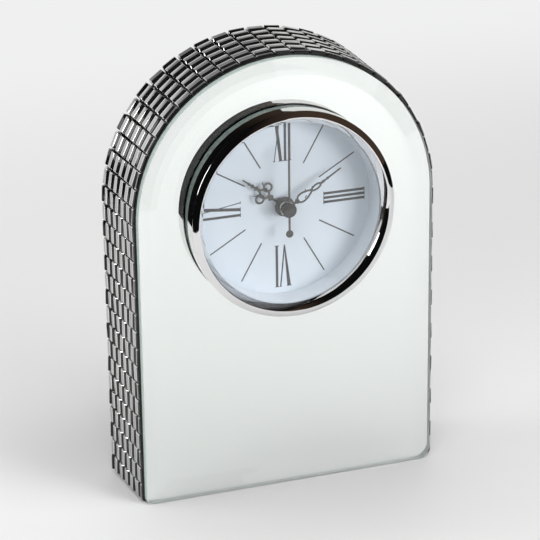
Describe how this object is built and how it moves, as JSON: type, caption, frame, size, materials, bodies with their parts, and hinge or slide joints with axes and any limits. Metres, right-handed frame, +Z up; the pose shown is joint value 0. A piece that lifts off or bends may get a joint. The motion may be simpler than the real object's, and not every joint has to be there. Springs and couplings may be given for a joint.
{
  "type": "arched mirror mantel clock",
  "caption": "Round-arched mirrored mantel clock: bevelled glass front, chrome-bezelled dial with pierced hands, mosaic-tiled rim and a geared quartz movement.",
  "frame": {"origin": "centre of the footprint, on the table", "axes": "+Z up, +Y from the dial to the back, +X to the right of the dial"},
  "size_m": [0.1444, 0.0522, 0.2028],
  "materials": {
    "mirror_glass": "clear float glass, silvered on its back, wide polished bevel",
    "case_black": "fibreboard under matt black paint",
    "back_black": "thin board with black flock",
    "felt": "black felt",
    "silver_tile": "silvered bevelled glass chips",
    "chrome": "polished chrome plate",
    "clear_glass": "clear flat lens",
    "dial_white": "printed card, cool white",
    "insert_white": "white moulding",
    "housing_black": "black moulding",
    "gear_white": "natural acetal",
    "gunmetal": "dark grey satin lacquer",
    "brass": "turned brass",
    "iron": "soft iron",
    "magnet": "sintered magnet",
    "copper": "enamelled copper wire",
    "circuit_green": "glass-fibre board",
    "resin": "black resin",
    "can_steel": "drawn steel can",
    "contact_steel": "nickel-plated spring strip",
    "cell_jacket": "plain dark jacket"
  },
  "bodies": {
    "case": {"mirror_plate": "mirror_glass", "case_rim": "case_black", "front_board": "case_black", "back_panel": "back_black", "base_felt": "felt", "tiles_left": "silver_tile", "tiles_arch": "silver_tile", "tiles_right": "silver_tile", "bezel": "chrome", "lens": "clear_glass", "dial": "dial_white", "insert_body": "insert_white", "movement_case": "housing_black", "movement_cover": "housing_black", "shaft_bushing": "brass", "fixing_nut": "brass", "stator": "iron", "coil_core": "iron", "coil_bobbin": "gear_white", "coil_winding": "copper", "circuit_board": "circuit_green", "quartz_crystal": "can_steel", "chip_cap": "resin", "positive_contact": "contact_steel", "negative_contact": "contact_steel"},
    "minute": {"centre_wheel": "gear_white", "minute_hand": "gunmetal"},
    "hour": {"hour_wheel": "gear_white", "hour_hand": "gunmetal"},
    "second": {"second_wheel": "gear_white", "second_hand": "gunmetal"},
    "third": {"third_wheel": "gear_white"},
    "intermediate": {"intermediate_wheel": "gear_white"},
    "rotor": {"rotor": "magnet"},
    "minute_wheel": {"minute_wheel": "gear_white"},
    "knob": {"setting_knob": "housing_black"},
    "cell": {"battery": "cell_jacket"}
  },
  "joints": [
    {"name": "minute_hand_turn", "type": "hinge", "parent": "case", "child": "minute", "pos_m": [0, -0.0179, 0.1307], "axis": [0, 1, 0], "continuous": true},
    {"name": "hour_hand_turn", "type": "hinge", "parent": "case", "child": "hour", "pos_m": [0, -0.0179, 0.1307], "axis": [0, 1, 0], "continuous": true},
    {"name": "second_hand_turn", "type": "hinge", "parent": "case", "child": "second", "pos_m": [0, -0.0179, 0.1307], "axis": [0, 1, 0], "continuous": true},
    {"name": "third_wheel_turn", "type": "hinge", "parent": "case", "child": "third", "pos_m": [-0.0106, -0.0179, 0.13682], "axis": [0, 1, 0], "continuous": true},
    {"name": "intermediate_wheel_turn", "type": "hinge", "parent": "case", "child": "intermediate", "pos_m": [0.0054, -0.0179, 0.14005], "axis": [0, 1, 0], "continuous": true},
    {"name": "rotor_turn", "type": "hinge", "parent": "case", "child": "rotor", "pos_m": [0.01369, -0.0179, 0.14307], "axis": [0, 1, 0], "continuous": true},
    {"name": "minute_wheel_turn", "type": "hinge", "parent": "case", "child": "minute_wheel", "pos_m": [0.01, -0.0179, 0.1307], "axis": [0, 1, 0], "continuous": true},
    {"name": "setting_knob_turn", "type": "hinge", "parent": "case", "child": "knob", "pos_m": [0.02, -0.0179, 0.1307], "axis": [0, 1, 0], "continuous": true},
    {"name": "battery_lift", "type": "slide", "parent": "case", "child": "cell", "axis": [0, 1, 0], "range_m": [0, 0.04]}
  ],
  "couplings": [
    {"joint": "hour_hand_turn", "follows": "minute_hand_turn", "ratio": 0.083333},
    {"joint": "second_hand_turn", "follows": "minute_hand_turn", "ratio": 60},
    {"joint": "third_wheel_turn", "follows": "minute_hand_turn", "ratio": -8},
    {"joint": "intermediate_wheel_turn", "follows": "minute_hand_turn", "ratio": -300},
    {"joint": "rotor_turn", "follows": "minute_hand_turn", "ratio": 1800},
    {"joint": "minute_wheel_turn", "follows": "minute_hand_turn", "ratio": -0.33333},
    {"joint": "setting_knob_turn", "follows": "minute_hand_turn", "ratio": 1}
  ]
}
